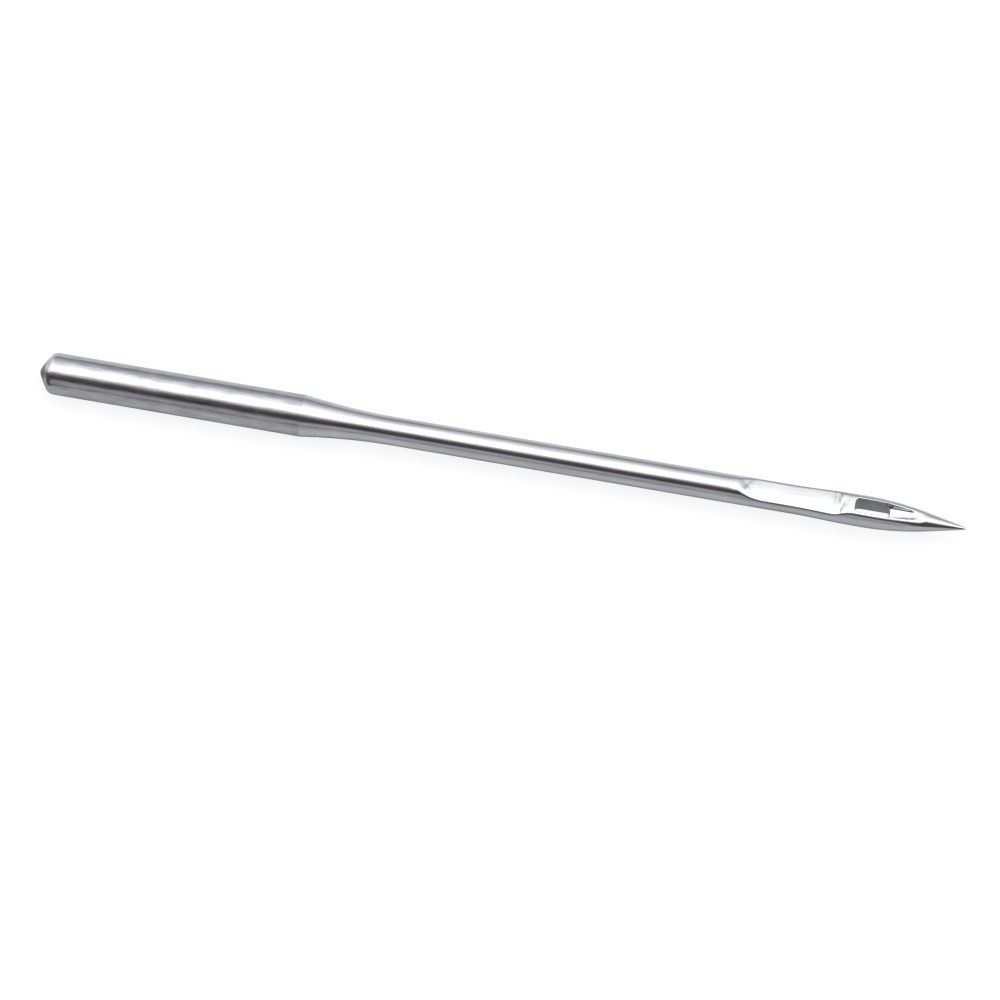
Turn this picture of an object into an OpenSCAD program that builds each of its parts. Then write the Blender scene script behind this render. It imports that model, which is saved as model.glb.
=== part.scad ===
// Sewing machine needle, turned and ground from one piece of steel wire. Lengths are in millimetres.
// A thick round shank tapers through a hollow neck into a thin blade. A long thread groove runs
// along the underside to the eye. Above the eye the blade is hollowed by the scarf, and a short
// groove leads from the eye into the point.
// The needle lies along X, butt at -X and point at +X, with the scarf facing up and the shank
// resting on the plane z = 0. Stations are distances from the butt along the needle.

/* [Shank] */
// Diameter of the round shank that the needle bar clamps
shank_d = 2.0; // [1.6:0.02:2.4]
// Length from the butt to the shoulder where the neck begins
shank_length = 12.7; // [9:0.1:16]
// Radius of the blunt nose in the middle of the cut butt
butt_nose_r = 0.45; // [0.3:0.05:0.7]
// Half angle of the cut cone around the nose
butt_cone_angle = 60; // [56:1:70]
// Diameter at which the cut cone meets the lead-in chamfer
butt_face_d = 1.24; // [0.9:0.02:1.4]
// Angle between the lead-in chamfer and the needle
butt_chamfer_angle = 55; // [40:1:56]
// Rounding where the chamfer runs into the shank
shank_edge_r = 0.42; // [0.1:0.01:0.5]

/* [Neck and blade] */
// Length of the hollow neck between shank and blade
neck_length = 4.5; // [3:0.1:7]
// Diameter of the blade
blade_d = 1.36; // [1.2:0.02:1.5]

/* [Eye] */
// Length from the butt to the upper end of the eye
butt_to_eye = 39.13; // [34:0.01:44]
// Length of the eye
eye_length = 1.61; // [1.2:0.01:2.2]
// Width of the eye
eye_w = 0.72; // [0.6:0.02:0.8]
// Bevel that takes the edge off the mouth of the eye
eye_bevel = 0.05; // [0.02:0.01:0.08]
// Height of the flat lands beside the eye above the middle of the needle
eye_land_h = 0.6; // [0.54:0.01:0.64]
// Depth of the narrow lands under the eye below the middle of the needle
eye_under_h = 0.62; // [0.56:0.01:0.68]
// How far each cheek beside the eye stands out past the blade
cheek_swell = 0.074; // [0.02:0.002:0.12]
// Length over which the blade swells into the cheeks
cheek_rise = 3.75; // [1.5:0.05:5]

/* [Point] */
// Length from the lower end of the eye to the tip
point_length = 3.63; // [3:0.01:5]
// Half angle of the straight cone that ends the point
point_angle = 12; // [10:0.1:16]
// Radius of the rounded tip
tip_r = 0.075; // [0.05:0.005:0.16]

/* [Scarf] */
// Length of the scarf from its upper end to the eye boss
scarf_length = 5.305; // [4:0.005:8]
// Depth of the scarf below the surface of the blade
scarf_depth = 0.27; // [0.2:0.01:0.34]
// Gap between the lower end of the scarf and the eye
scarf_gap = 0.35; // [0.05:0.01:0.4]
// Radius of the run-in at the upper end of the scarf
scarf_lead_r = 3.1; // [0.8:0.05:4]
// Radius of the run-out at the eye boss
scarf_heel_r = 1.5; // [0.8:0.05:2]

/* [Long groove] */
// Width of the long groove
long_groove_w = 0.62; // [0.4:0.02:0.68]
// Depth of the long groove below the surface of the blade
long_groove_depth = 0.46; // [0.36:0.01:0.6]
// Distance from the shoulder to the start of the groove on the neck
long_groove_gap = 1.5; // [0.6:0.1:3]
// Length of the ramp at the start of the groove
long_groove_ramp = 3.3; // [2:0.1:6]
// Distance that the groove runs on past the eye
long_groove_runout = 0.9; // [0.6:0.02:1.4]
// Rounding between the floor and the walls of the long groove
groove_corner_r = 0.14; // [0.06:0.01:0.18]

/* [Short groove] */
// Length of the short groove from the lower end of the eye into the point
short_groove_length = 1.4; // [0.8:0.02:1.8]
// Depth of the short groove below the eye lands, at the lower end of the eye
short_groove_depth = 0.41; // [0.3:0.01:0.46]
// Slope of the floor that rises towards the point
short_groove_slope = 11.5; // [8:0.5:16]
// Width of the short groove where it leaves the eye
short_groove_w = 0.68; // [0.5:0.02:0.7]
// Width of the short groove where its floor runs out
short_groove_end_w = 0.4; // [0.3:0.02:0.56]

/* [Hidden] */
shank_r = shank_d / 2;
blade_r = blade_d / 2;
cheek_r = blade_r + cheek_swell;
eye_end = butt_to_eye + eye_length;
needle_length = eye_end + point_length;
// Amount by which a cutter passes the surface that it opens
over = 0.2;
// Steps around the needle, around a cutter and around the long curves of its outline
round_steps = 96;
cutter_steps = 64;
curve_steps = 720;

// Butt: the blunt nose is tangent to the cut cone, and the chamfer follows
nose_r = butt_nose_r * cos(butt_cone_angle);
nose_s = butt_nose_r * (1 - sin(butt_cone_angle));
butt_face_s = nose_s + (butt_face_d / 2 - nose_r) / tan(butt_cone_angle);
chamfer_rise = shank_r - butt_face_d / 2;
chamfer_s = butt_face_s + chamfer_rise / tan(butt_chamfer_angle);
edge_reach = shank_edge_r * tan(butt_chamfer_angle / 2);

// Neck: one hollow arc that starts with a crisp shoulder and ends tangent to the blade
neck_end = shank_length + neck_length;
neck_drop = shank_r - blade_r;
neck_arc_r = (pow(neck_length, 2) + pow(neck_drop, 2)) / (2 * neck_drop);

// Cheeks: two equal arcs swell the blade up to a crest beside the eye
cheek_s = butt_to_eye + eye_length / 4;
cheek_start = cheek_s - cheek_rise;
cheek_arc_r = (pow(cheek_rise, 2) + pow(cheek_swell, 2)) / (4 * cheek_swell);
cheek_turn = cheek_s - cheek_rise / 2;

// Point: an arc from the crest runs tangent into the cone, and the cone into the round tip
cone_apex = needle_length + tip_r * (1 / sin(point_angle) - 1);
point_arc_r = (cone_apex - cheek_s - cheek_r / tan(point_angle)) / tan(point_angle / 2);
cone_start = cheek_s + point_arc_r * sin(point_angle);
cone_start_r = cheek_r - point_arc_r * (1 - cos(point_angle));
tip_ball_s = needle_length - tip_r;
cone_end = tip_ball_s + tip_r * sin(point_angle);
cone_end_r = tip_r * cos(point_angle);

// Scarf: a flat floor between two round run-outs
scarf_floor = blade_r - scarf_depth;
scarf_end = butt_to_eye - scarf_gap;
scarf_lead = sqrt(2 * scarf_lead_r * scarf_depth - pow(scarf_depth, 2));
scarf_floor_start = scarf_end - scarf_length + scarf_lead;
heel_rise = eye_land_h - scarf_floor;
scarf_floor_end = scarf_end - sqrt(2 * scarf_heel_r * heel_rise - pow(heel_rise, 2));

// Long groove: a round cutter plunges in along the ramp, runs to the eye and lifts out past it
groove_floor = blade_r - long_groove_depth;
groove_start = shank_length + long_groove_gap;
neck_left = max(0, neck_end - groove_start);
groove_start_r = blade_r + neck_arc_r - sqrt(pow(neck_arc_r, 2) - pow(neck_left, 2));
ramp_end = groove_start + long_groove_ramp;
ramp_drop = groove_start_r - groove_floor;
ramp_wheel_r = (pow(long_groove_ramp, 2) + pow(ramp_drop, 2)) / (2 * ramp_drop);
lift_drop = cheek_r - groove_floor;
lift_wheel_r = (pow(long_groove_runout, 2) + pow(lift_drop, 2)) / (2 * lift_drop);

// Short groove: a wedge that starts inside the eye and rises and narrows evenly past it
short_start = eye_end - eye_length / 2;
short_floor_h = eye_land_h - short_groove_depth - eye_length / 2 * tan(short_groove_slope);
short_mouth = eye_length / 2 / cos(short_groove_slope);
short_run = (eye_length / 2 + short_groove_length) / cos(short_groove_slope);

// Flat outlines are drawn with the radius across and the station upwards. Each band reaches a little
// into its fuller neighbour, so that they join

// Band of the outline from the middle line out to a given radius
module band(radius, from_s, to_s) {
    translate([0, from_s]) square([radius, to_s - from_s]);
}

// Band that ends on the outside of an arc, so the outline is full
module full_band(center_r, center_s, arc_r, from_s, to_s) {
    intersection() {
        band(shank_r, from_s, to_s);
        translate([center_r, center_s]) circle(r = arc_r, $fn = curve_steps);
    }
}

// Band with an arc cut out of it, so the outline is hollow
module hollow_band(center_r, center_s, arc_r, from_s, to_s) {
    difference() {
        band(shank_r, from_s, to_s);
        translate([center_r, center_s]) circle(r = arc_r, $fn = curve_steps);
    }
}

// Cut butt with its blunt nose, cone, chamfer and rounded edge
module butt_outline() {
    intersection() {
        band(shank_r, 0, butt_nose_r);
        translate([0, butt_nose_r]) circle(r = butt_nose_r, $fn = curve_steps);
    }
    polygon([
        [0, nose_s],
        [nose_r, nose_s],
        [butt_face_d / 2, butt_face_s],
        [
            shank_r - edge_reach * sin(butt_chamfer_angle),
            chamfer_s - edge_reach * cos(butt_chamfer_angle)
        ],
        [shank_r, chamfer_s + edge_reach],
        [shank_r, chamfer_s + edge_reach + over],
        [0, chamfer_s + edge_reach + over]
    ]);
    intersection() {
        band(shank_r, nose_s, chamfer_s + edge_reach + over);
        translate([shank_r - shank_edge_r, chamfer_s + edge_reach])
            circle(r = shank_edge_r, $fn = cutter_steps);
    }
}

// Shank, hollow neck and plain blade
module shaft_outline() {
    band(shank_r, chamfer_s + edge_reach, shank_length);
    hollow_band(blade_r + neck_arc_r, neck_end, neck_arc_r, shank_length - over,
        neck_end);
    band(blade_r, neck_end - over, cheek_start + over);
}

// Cheeks that swell beside the eye, and the point down to its rounded tip
module point_outline() {
    hollow_band(blade_r + cheek_arc_r, cheek_start, cheek_arc_r, cheek_start, cheek_turn);
    full_band(cheek_r - cheek_arc_r, cheek_s, cheek_arc_r, cheek_turn - over, cheek_s);
    full_band(cheek_r - point_arc_r, cheek_s, point_arc_r, cheek_s - over,
        cone_start + over);
    polygon([
        [0, cone_start],
        [cone_start_r, cone_start],
        [cone_end_r, cone_end],
        [0, cone_end]
    ]);
    intersection() {
        band(shank_r, tip_ball_s - tip_r, needle_length);
        translate([0, tip_ball_s]) circle(r = tip_r, $fn = curve_steps);
    }
}

// Turned blank, before the grooves, the scarf and the eye
module blank() {
    rotate([0, 90, 0])
        rotate_extrude($fn = round_steps)
            union() {
                butt_outline();
                shaft_outline();
                point_outline();
            }
}

// Cylinder lying across the needle, centred at a station and a height
module roller(station, height, radius) {
    translate([station, 0, height])
        rotate([90, 0, 0])
            cylinder(r = radius, h = shank_d, center = true, $fn = curve_steps);
}

// Scarf cutter: run-in, flat floor and run-out, then a level pass over the lands of the eye
module scarf_cut() {
    roller(scarf_floor_start, scarf_floor + scarf_lead_r, scarf_lead_r);
    roller(scarf_floor_end, scarf_floor + scarf_heel_r, scarf_heel_r);
    translate([scarf_floor_start, -shank_r, scarf_floor])
        cube([scarf_floor_end - scarf_floor_start, shank_d, shank_r]);
    translate([scarf_floor_end, -shank_r, eye_land_h])
        cube([needle_length - scarf_floor_end, shank_d, shank_r]);
}

// Level pass under the eye, which leaves two narrow lands along the long groove
module under_cut() {
    translate([cheek_start, -shank_r, -eye_under_h - shank_r])
        cube([needle_length - cheek_start, shank_d, shank_r]);
}

// Section of the long groove, reaching out to its floor, with rounded corners
module groove_section(reach) {
    core_w = long_groove_w - 2 * groove_corner_r;
    translate([0, -core_w / 2]) square([reach, core_w]);
    translate([0, -long_groove_w / 2]) square([reach - groove_corner_r, long_groove_w]);
    for (side = [-1, 1])
        translate([reach - groove_corner_r, side * core_w / 2])
            circle(r = groove_corner_r, $fn = cutter_steps);
}

// Wheel standing along the needle below it, with its top at the floor of the long groove
module groove_wheel(station, wheel_r) {
    translate([station, 0, -groove_floor - wheel_r])
        rotate([90, 0, 0])
            rotate_extrude($fn = curve_steps)
                intersection() {
                    groove_section(wheel_r);
                    translate([0, -shank_r]) square([wheel_r, shank_d]);
                }
}

// Long groove cutter: plunging wheel, straight run and lifting wheel
module long_groove_cut() {
    groove_wheel(ramp_end, ramp_wheel_r);
    translate([eye_end, 0, -shank_r])
        rotate([0, -90, 0])
            linear_extrude(height = eye_end - ramp_end)
                groove_section(shank_r - groove_floor);
    groove_wheel(eye_end, lift_wheel_r);
}

// Eye: a slot with round ends through the whole blade
module eye_cut() {
    ends_gap = eye_length - eye_w;
    first_s = butt_to_eye + eye_w / 2;
    bevel_base_h = eye_land_h - eye_bevel;
    translate([first_s, 0, -shank_r]) cylinder(d = eye_w, h = shank_d, $fn = cutter_steps);
    translate([first_s + ends_gap, 0, -shank_r])
        cylinder(d = eye_w, h = shank_d, $fn = cutter_steps);
    translate([first_s, -eye_w / 2, -shank_r]) cube([ends_gap, eye_w, shank_d]);
    for (end_s = [first_s, first_s + ends_gap])
        translate([end_s, 0, bevel_base_h])
            cylinder(d1 = eye_w, d2 = eye_w + 2 * (eye_bevel + over), h = eye_bevel + over,
                $fn = cutter_steps);
    translate([first_s, 0, bevel_base_h])
        rotate([90, 0, 90])
            linear_extrude(height = ends_gap)
                polygon([
                    [-eye_w / 2, 0],
                    [eye_w / 2, 0],
                    [eye_w / 2 + eye_bevel + over, eye_bevel + over],
                    [-eye_w / 2 - eye_bevel - over, eye_bevel + over]
                ]);
}

// Short groove cutter: its floor rises along the groove
module short_groove_cut() {
    translate([short_start, 0, short_floor_h])
        rotate([0, -short_groove_slope, 0])
            linear_extrude(height = shank_r)
                polygon([
                    [0, -short_groove_w / 2],
                    [short_mouth, -short_groove_w / 2],
                    [short_run, -short_groove_end_w / 2],
                    [short_run, short_groove_end_w / 2],
                    [short_mouth, short_groove_w / 2],
                    [0, short_groove_w / 2]
                ]);
}

// Finished needle, standing clear at its true place above the resting plane
module needle() {
    color([0.80, 0.81, 0.83])
        translate([-needle_length / 2, 0, shank_r])
            difference() {
                blank();
                scarf_cut();
                under_cut();
                long_groove_cut();
                eye_cut();
                short_groove_cut();
            }
}

needle();
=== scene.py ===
"""Looks of a sewing machine needle, lying on a pale floor under soft studio light.

The needle is one piece of steel, so it is one mesh. Cross-sections are laid along it, closer together
where its form changes, and every point is then drawn onto one smooth field, which rounds the edges of
the scarf, the grooves and the eye and gives each point its true normal.

Sizes of the needle are in millimetres and are measured from the butt. Height is measured from the
needle's axis, and side is measured across it. Only the finished mesh is in metres.
"""

import logging
import math
from collections.abc import Callable
from dataclasses import dataclass
from enum import IntEnum
from functools import partial
from typing import Any

import bpy
import numpy as np
from mathutils import Matrix, Vector


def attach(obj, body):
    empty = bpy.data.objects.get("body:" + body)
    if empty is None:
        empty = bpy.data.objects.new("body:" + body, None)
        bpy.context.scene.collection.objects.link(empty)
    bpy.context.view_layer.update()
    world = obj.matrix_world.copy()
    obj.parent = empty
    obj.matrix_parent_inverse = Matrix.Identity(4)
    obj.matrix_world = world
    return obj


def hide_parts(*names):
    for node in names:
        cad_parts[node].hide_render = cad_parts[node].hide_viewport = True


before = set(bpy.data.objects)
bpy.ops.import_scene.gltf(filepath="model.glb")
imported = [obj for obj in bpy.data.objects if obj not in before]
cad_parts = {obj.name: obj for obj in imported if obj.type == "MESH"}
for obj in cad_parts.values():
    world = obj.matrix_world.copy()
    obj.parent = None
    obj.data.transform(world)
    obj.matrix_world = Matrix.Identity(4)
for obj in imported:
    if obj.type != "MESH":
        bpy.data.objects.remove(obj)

Array = np.ndarray
Colour = tuple[float, float, float, float]
Corner = tuple[float, float]
Turned = tuple[float, float, float]
Material = bpy.types.Material
Node = bpy.types.Node
Socket = bpy.types.NodeSocket
Tree = bpy.types.NodeTree

MM = 0.001
TINY = 1e-9
WHITE = "#FFFFFF"
BODY = "root"
NODE = "needle"

log = logging.getLogger("needle")


def linear(code: str) -> Colour:
    """Turn an sRGB hex colour into Blender's linear colour.

    Args:
        code: Six hex digits after a hash sign.

    Returns:
        Red, green, blue and an alpha of one.
    """
    channels = [int(code[i : i + 2], 16) / 255 for i in (1, 3, 5)]
    red, green, blue = (c / 12.92 if c <= 0.04045 else ((c + 0.055) / 1.055) ** 2.4 for c in channels)
    return red, green, blue, 1.0


def add_node(tree: Tree, kind: str, values: dict[Any, Any] | None = None) -> Node:
    """Add a node to a tree, with its settings and the links that reach it.

    Args:
        tree: Node tree that takes the new node.
        kind: Blender's name for the kind of node.
        values: Value of each of the node's own options, by name, or of its inputs, by name or number.
            An output socket of another node is linked to the input.

    Returns:
        The new node.
    """
    node = tree.nodes.new(kind)
    for name, value in (values or {}).items():
        if isinstance(value, Socket):
            tree.links.new(value, node.inputs[name])
        elif isinstance(name, str) and hasattr(node, name):
            setattr(node, name, value)
        else:
            node.inputs[name].default_value = value
    return node


def empty_tree(owner: Material | bpy.types.World) -> Tree:
    """Give a new material or world an empty node tree.

    Args:
        owner: The material or world.

    Returns:
        Its tree.
    """
    owner.use_nodes = True
    owner.node_tree.nodes.clear()
    return owner.node_tree


def fill_ramp(ramp: Node, stops: list[tuple[float, Colour]]) -> None:
    """Give a colour ramp its stops.

    Args:
        ramp: Node with the ramp.
        stops: Place from 0 to 1 and colour of each stop, in order.
    """
    elements = ramp.color_ramp.elements
    for _ in range(len(stops) - 2):
        elements.new(0.5)
    for element, (place, colour) in zip(elements, stops):
        element.position = place
        element.color = colour


def smooth_max(first: Array, second: Array, width: float | Array) -> Array:
    """Take the larger of two fields, rounded where they are nearly equal.

    Args:
        first: One field.
        second: The other field.
        width: Difference below which the result is rounded, about the radius of the edge.

    Returns:
        The rounded larger field.
    """
    near = np.clip(width - np.abs(first - second), 0.0, None) / width
    return np.maximum(first, second) + near**2 * width / 4


def round_join(first: Array, second: Array, radius: float) -> Array:
    """Join two fields by a round corner.

    Args:
        first: Distance past the start of the corner, towards one wall.
        second: The same, towards the other wall.
        radius: Radius of the corner.

    Returns:
        The distance to the walls and the corner, which is negative inside them.
    """
    outside = np.hypot(np.clip(first, 0, None), np.clip(second, 0, None))
    return outside + np.minimum(np.maximum(first, second), 0.0) - radius


def arc_drop(distance: Array, radius: float) -> Array:
    """Give how far a circle falls away from its tangent, at a distance along the tangent.

    Args:
        distance: Distance from the point of contact; below zero it counts as zero.
        radius: Radius of the circle.

    Returns:
        The drop, which goes on steeply in a straight line once the circle has nearly turned away.
    """
    reach = 0.97 * radius
    steep = 4.0
    on_arc = np.clip(distance, 0.0, reach)
    past = np.clip(distance - reach, 0.0, None)
    return radius - np.sqrt(radius**2 - on_arc**2) + steep * past


def arc_radius(run: float, drop: float) -> float:
    """Give the radius of an arc that starts level and falls by a drop over a run."""
    return (run**2 + drop**2) / (2 * drop)


def arc_run(radius: float, drop: float) -> float:
    """Give the run over which an arc that starts level falls by a drop."""
    return math.sqrt(2 * radius * drop - drop**2)


def half_chord(radius: float, offset: float) -> float:
    """Give half the chord of a circle at an offset from its middle, or zero outside the circle."""
    return math.sqrt(max(radius**2 - offset**2, 0.0))


def at(curve: Callable[[Array], Array], station: float) -> float:
    """Read a curve along the needle at one station."""
    return float(curve(np.array([station]))[0])


@dataclass(frozen=True)
class NeedleSizes:
    """Driving sizes of the needle, in millimetres and degrees.

    A name that ends in d is a diameter, in r a radius, in w a width, and in h a height over or under the
    axis. The scarf is measured back from the eye, and the point and the short groove on from it.
    """

    shank_d: float = 2.0
    shank_length: float = 12.7
    butt_nose_r: float = 0.45
    butt_cone_angle: float = 60.0
    butt_face_d: float = 1.24
    butt_chamfer_angle: float = 55.0
    shank_edge_r: float = 0.42
    neck_length: float = 4.5
    blade_d: float = 1.36
    butt_to_eye: float = 39.13
    eye_length: float = 1.61
    eye_w: float = 0.72
    eye_corner_r: float = 0.16
    eye_land_h: float = 0.6
    eye_land_r: float = 27.0
    land_runout_r: float = 0.9
    eye_under_h: float = 0.62
    cheek_swell: float = 0.074
    cheek_rise: float = 3.75
    point_length: float = 3.63
    point_angle: float = 12.0
    tip_r: float = 0.075
    scarf_length: float = 5.655
    scarf_depth: float = 0.27
    scarf_crown_r: float = 6.5
    scarf_lead_r: float = 3.1
    scarf_heel_r: float = 1.5
    boss_h: float = 0.62
    boss_r: float = 1.8
    long_groove_w: float = 0.62
    long_groove_depth: float = 0.46
    long_groove_gap: float = 1.5
    long_groove_ramp: float = 3.3
    long_groove_runout: float = 0.9
    groove_corner_r: float = 0.14
    short_groove_length: float = 1.4
    short_groove_depth: float = 0.41
    short_groove_slope: float = 11.5
    short_groove_end_w: float = 0.4

    @property
    def shank_r(self) -> float:
        """Radius of the shank."""
        return self.shank_d / 2

    @property
    def blade_r(self) -> float:
        """Radius of the blade."""
        return self.blade_d / 2

    @property
    def cheek_r(self) -> float:
        """Radius over the crest of the cheeks."""
        return self.blade_r + self.cheek_swell

    @property
    def neck_end(self) -> float:
        """Station where the neck has become the blade."""
        return self.shank_length + self.neck_length

    @property
    def eye_end(self) -> float:
        """Station of the lower end of the eye."""
        return self.butt_to_eye + self.eye_length

    @property
    def length(self) -> float:
        """Whole length of the needle."""
        return self.eye_end + self.point_length

    @property
    def cheek_crest(self) -> float:
        """Station of the crest of the cheeks."""
        return self.butt_to_eye + self.eye_length / 4


@dataclass(frozen=True)
class EdgeRounds:
    """How far each kind of edge is rounded by grinding and polishing, in millimetres.

    Attributes:
        scarf: Edges of the scarf and of the lands.
        scarf_reach: How much later the scarf starts, because its rounding reaches ahead of it.
        under: Edges of the narrow lands under the eye.
        eye_mouth: Edges of the eye and of the short groove.
        web: Edge between the eye's lower wall and the short groove's floor.
        groove_rim: Edges of the long groove.
        crease: Edge between the butt's cut and its chamfer, and the crease at the shoulder.
    """

    scarf: float = 0.09
    scarf_reach: float = 0.12
    under: float = 0.03
    eye_mouth: float = 0.06
    web: float = 0.06
    groove_rim: float = 0.04
    crease: float = 0.02


@dataclass
class Outline:
    """Turned outline of the needle, before the scarf, the grooves and the eye.

    Attributes:
        sizes: Sizes of the needle.
        crease: How far an inner edge is rounded.
        arc_rings: Rings on each arc of the butt and the tip.
    """

    sizes: NeedleSizes
    crease: float
    arc_rings: int = 9

    def __post_init__(self) -> None:
        """Work out the arcs of the outline."""
        sizes = self.sizes
        self.neck_arc_r = arc_radius(sizes.neck_length, sizes.shank_r - sizes.blade_r)
        self.cheek_start = sizes.cheek_crest - sizes.cheek_rise
        self.cheek_turn = sizes.cheek_crest - sizes.cheek_rise / 2
        self.cheek_arc_r = arc_radius(sizes.cheek_rise / 2, sizes.cheek_swell / 2)
        angle = math.radians(sizes.point_angle)
        apex = sizes.length + sizes.tip_r * (1 / math.sin(angle) - 1)
        straight = sizes.cheek_r / math.tan(angle)
        self.point_arc_r = (apex - sizes.cheek_crest - straight) / math.tan(angle / 2)
        self.cone_start = sizes.cheek_crest + self.point_arc_r * math.sin(angle)
        self.cone_start_r = sizes.cheek_r - self.point_arc_r * (1 - math.cos(angle))
        self.cone_end = sizes.length - sizes.tip_r * (1 - math.sin(angle))
        self.cone_slope = math.tan(angle)
        self.face_turn = math.radians(90 - sizes.butt_cone_angle)
        nose = sizes.butt_nose_r
        face_w = sizes.butt_face_d / 2 - nose * math.sin(self.face_turn)
        self.face_end = nose * (1 - math.cos(self.face_turn)) + face_w * math.tan(self.face_turn)

    def radius(self, station: Array) -> Array:
        """Give the radius between the butt's chamfer and the needle's round tip.

        Args:
            station: Stations along the needle.

        Returns:
            The radius at each station.
        """
        sizes = self.sizes
        neck = sizes.blade_r + arc_drop(sizes.neck_end - station, self.neck_arc_r)
        swell = sizes.blade_r + arc_drop(station - self.cheek_start, self.cheek_arc_r)
        crest = sizes.cheek_r - arc_drop(sizes.cheek_crest - station, self.cheek_arc_r)
        point = sizes.cheek_r - arc_drop(station - sizes.cheek_crest, self.point_arc_r)
        cone = self.cone_start_r - (station - self.cone_start) * self.cone_slope
        stretches = (
            (sizes.shank_length, sizes.shank_r),
            (sizes.neck_end, neck),
            (self.cheek_start, sizes.blade_r),
            (self.cheek_turn, swell),
            (sizes.cheek_crest, crest),
            (self.cone_start, point),
        )
        return np.select([station <= end for end, _ in stretches], [r for _, r in stretches], cone)

    def butt_rings(self) -> list[Turned]:
        """List the rings of the butt, from its middle out to the shank.

        Returns:
            Station, radius and the angle of the normal from the axis, in radians, of each ring.
        """
        sizes = self.sizes
        cut, lead = self.face_turn, math.radians(90 - sizes.butt_chamfer_angle)
        nose, edge = sizes.butt_nose_r, sizes.shank_edge_r
        turns = np.linspace(0, cut, self.arc_rings)
        rings = [(nose * (1 - math.cos(a)), nose * math.sin(a), a) for a in turns]
        face_r, face_s = sizes.butt_face_d / 2, self.face_end
        for step, turn in ((-self.crease, cut), (self.crease, lead)):
            rings.append((face_s + step * math.sin(turn), face_r + step * math.cos(turn), turn))
        reach = edge * math.tan((math.pi / 2 - lead) / 2)
        edge_s = face_s + (sizes.shank_r - face_r) * math.tan(lead) + reach
        edge_r = sizes.shank_r - edge
        for a in np.linspace(lead, math.pi / 2, self.arc_rings):
            rings.append((edge_s - edge * math.cos(a), edge_r + edge * math.sin(a), a))
        return rings

    def tip_rings(self) -> list[Turned]:
        """List the rings of the round tip, from the cone to its very end.

        Returns:
            Station, radius and the angle of the normal from the axis, in radians, of each ring.
        """
        tip = self.sizes.tip_r
        centre = self.sizes.length - tip
        start = math.pi / 2 - math.radians(self.sizes.point_angle)
        turns = np.linspace(start, 0, self.arc_rings)
        return [(centre + tip * math.cos(a), tip * math.sin(a), math.pi - a) for a in turns]


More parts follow.
